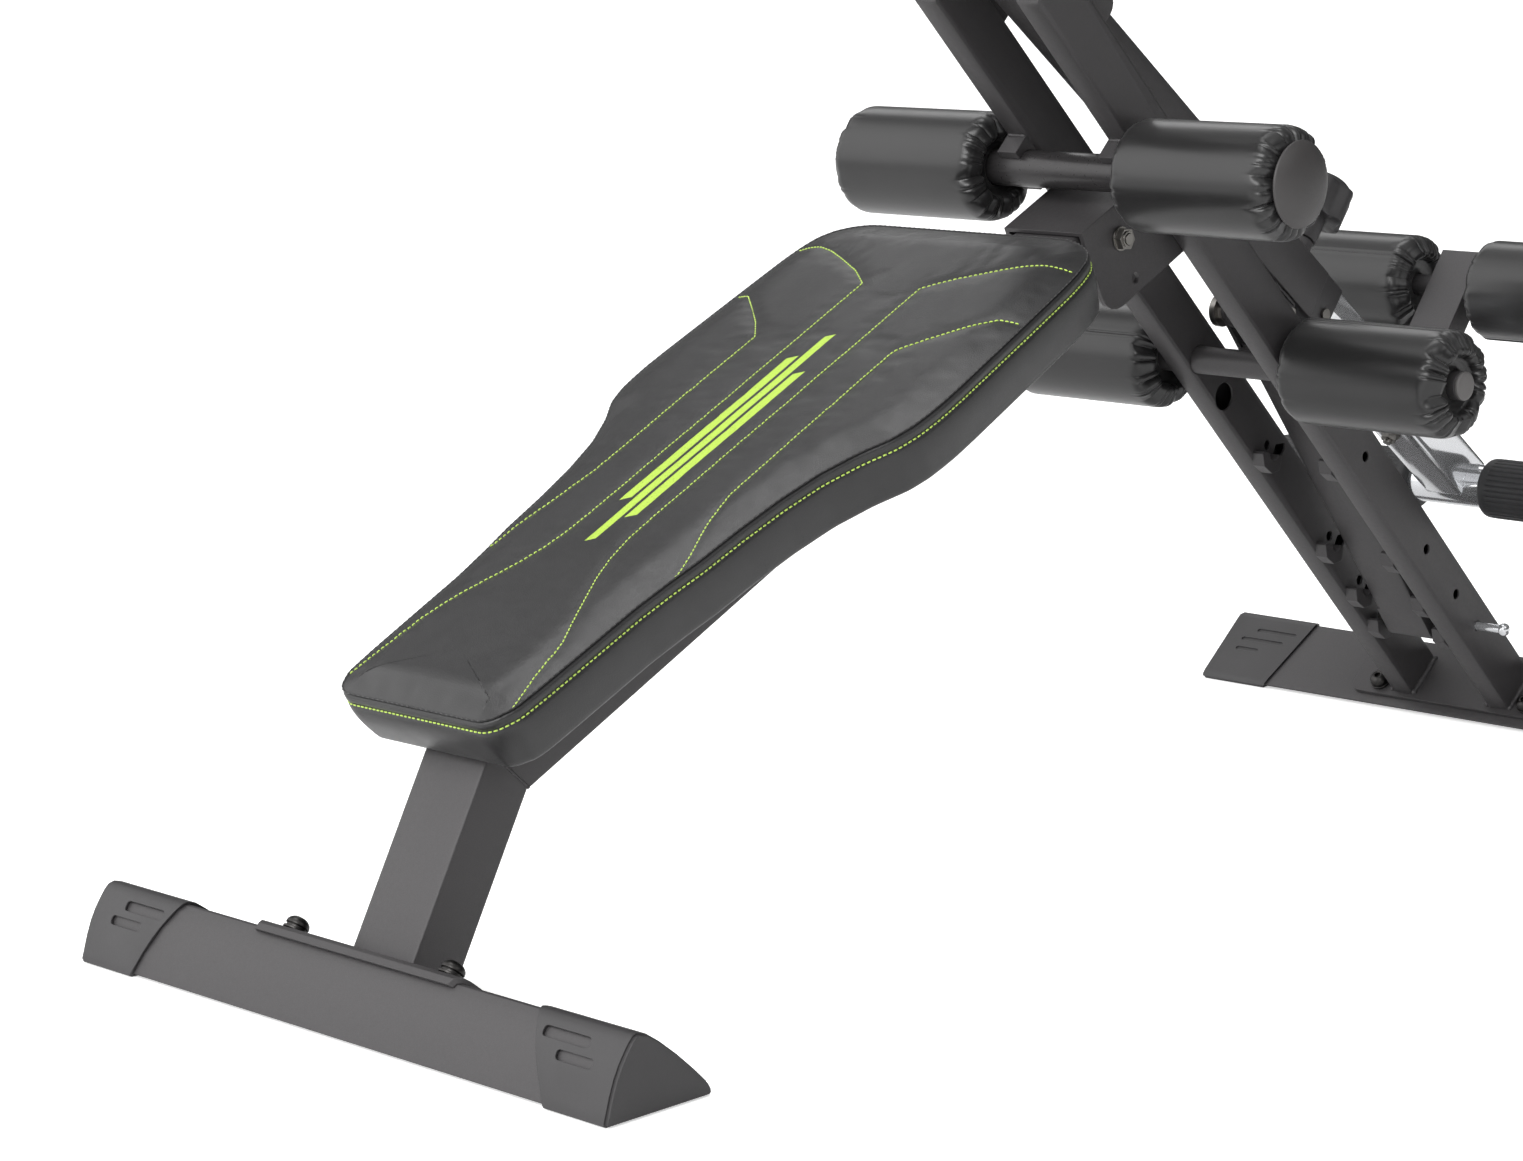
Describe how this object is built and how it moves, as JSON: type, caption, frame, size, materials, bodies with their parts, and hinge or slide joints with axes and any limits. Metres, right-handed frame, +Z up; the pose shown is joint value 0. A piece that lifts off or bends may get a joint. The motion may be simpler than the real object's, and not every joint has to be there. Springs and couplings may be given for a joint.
{
  "type": "decline sit up bench",
  "caption": "Decline sit-up bench with a contoured pad, folding beam, foam roller bars on twin sloping rails, and a telescoping foot tube propped by a strut.",
  "frame": {"origin": "on the floor, at the centre of the footprint between the two feet", "axes": "+X from the low foot toward the rail tower, +Y along the feet toward the side away from the locking pin, +Z up"},
  "size_m": [1.512, 0.6, 0.9168],
  "materials": {
    "frame_coat": "fine-textured powder coat",
    "cap_plastic": "moulded, fine grain",
    "pad_vinyl": "semi-gloss grained vinyl",
    "fastener_zinc": "zinc plated",
    "chrome_tube": "polished",
    "pad_board": "bare plywood",
    "grip_rubber": "ribbed rubber",
    "fastener_black": "black oxide"
  },
  "bodies": {
    "tower": {"rail_far": "frame_coat", "rail_near": "frame_coat", "rear_beam": "frame_coat", "rear_cap_far": "cap_plastic", "rear_cap_near": "cap_plastic", "rear_base_plate": "frame_coat", "rear_bolt_far": "fastener_black", "rear_bolt_near": "fastener_black", "bench_bracket": "frame_coat", "bench_pivot_bolt": "fastener_zinc", "bench_pivot_nut": "fastener_zinc", "upper_bar": "frame_coat", "upper_cap_far": "cap_plastic", "upper_cap_near": "cap_plastic", "lower_bar": "frame_coat", "lower_cap_far": "cap_plastic", "lower_cap_near": "cap_plastic", "tube_pivot_bolt": "fastener_zinc"},
    "bench": {"front_beam": "frame_coat", "front_cap_far": "cap_plastic", "front_cap_near": "cap_plastic", "front_base_plate": "frame_coat", "front_bolt_far": "fastener_black", "front_bolt_near": "fastener_black", "post": "frame_coat", "bench_beam": "frame_coat", "pad": "pad_vinyl", "pad_board": "pad_board", "pad_bolt_low": "fastener_zinc", "pad_bolt_high": "fastener_zinc"},
    "tube": {"outer_tube": "frame_coat", "tube_bushing": "cap_plastic", "bushing_screw": "fastener_zinc", "hip_pad_far": "pad_vinyl", "hip_pad_near": "pad_vinyl", "handle_bar": "frame_coat", "grip_far": "grip_rubber", "grip_near": "grip_rubber"},
    "knob": {"pull_knob": "cap_plastic"},
    "inner": {"inner_tube": "chrome_tube", "foot_bar": "chrome_tube", "foot_sleeve_far": "grip_rubber", "foot_sleeve_near": "grip_rubber", "ankle_post": "frame_coat", "ankle_bar": "frame_coat", "ankle_cap_far": "cap_plastic", "ankle_cap_near": "cap_plastic", "ankle_post_bolt": "fastener_zinc"},
    "strut": {"strut": "frame_coat", "strut_foot_pin": "fastener_zinc", "strut_pivot_bolt": "fastener_zinc"},
    "pin": {"lock_pin": "chrome_tube"},
    "upper_roller_far_b": {"upper_roller_far": "pad_vinyl"},
    "upper_roller_near_b": {"upper_roller_near": "pad_vinyl"},
    "lower_roller_far_b": {"lower_roller_far": "pad_vinyl"},
    "lower_roller_near_b": {"lower_roller_near": "pad_vinyl"},
    "ankle_roller_far_b": {"ankle_roller_far": "pad_vinyl"},
    "ankle_roller_near_b": {"ankle_roller_near": "pad_vinyl"}
  },
  "joints": [
    {"name": "bench_fold", "type": "hinge", "parent": "tower", "child": "bench", "pos_m": [0.09827, 0, 0.51931], "axis": [0, -1, 0], "range_deg": [0, 80]},
    {"name": "tube_tilt", "type": "hinge", "parent": "tower", "child": "tube", "pos_m": [0.03397, 0, 0.73575], "axis": [0, -1, 0], "range_deg": [0, 38]},
    {"name": "strut_swing", "type": "hinge", "parent": "tube", "child": "strut", "pos_m": [0.34689, 0, 0.42972], "axis": [0, -1, 0], "range_deg": [0, 8]},
    {"name": "foot_slide", "type": "slide", "parent": "tube", "child": "inner", "axis": [0.788, 0, -0.6157], "range_m": [-0.08, 0.12]},
    {"name": "knob_pull", "type": "slide", "parent": "tube", "child": "knob", "axis": [0.6157, 0, 0.788], "range_m": [0, 0.01]},
    {"name": "lock_pin_pull", "type": "slide", "parent": "tower", "child": "pin", "axis": [0, -1, 0], "range_m": [0, 0.05]},
    {"name": "upper_roller_far_spin", "type": "hinge", "parent": "tower", "child": "upper_roller_far_b", "pos_m": [0.08472, 0.157, 0.57559], "axis": [0, 1, 0], "continuous": true},
    {"name": "upper_roller_near_spin", "type": "hinge", "parent": "tower", "child": "upper_roller_near_b", "pos_m": [0.08472, -0.157, 0.57559], "axis": [0, 1, 0], "continuous": true},
    {"name": "lower_roller_far_spin", "type": "hinge", "parent": "tower", "child": "lower_roller_far_b", "pos_m": [0.31898, 0.15775, 0.38672], "axis": [0, 1, 0], "continuous": true},
    {"name": "lower_roller_near_spin", "type": "hinge", "parent": "tower", "child": "lower_roller_near_b", "pos_m": [0.31898, -0.15775, 0.38672], "axis": [0, 1, 0], "continuous": true},
    {"name": "ankle_roller_far_spin", "type": "hinge", "parent": "inner", "child": "ankle_roller_far_b", "pos_m": [0.66179, 0.11975, 0.42671], "axis": [0, 1, 0], "continuous": true},
    {"name": "ankle_roller_near_spin", "type": "hinge", "parent": "inner", "child": "ankle_roller_near_b", "pos_m": [0.66179, -0.11975, 0.42671], "axis": [0, 1, 0], "continuous": true}
  ]
}
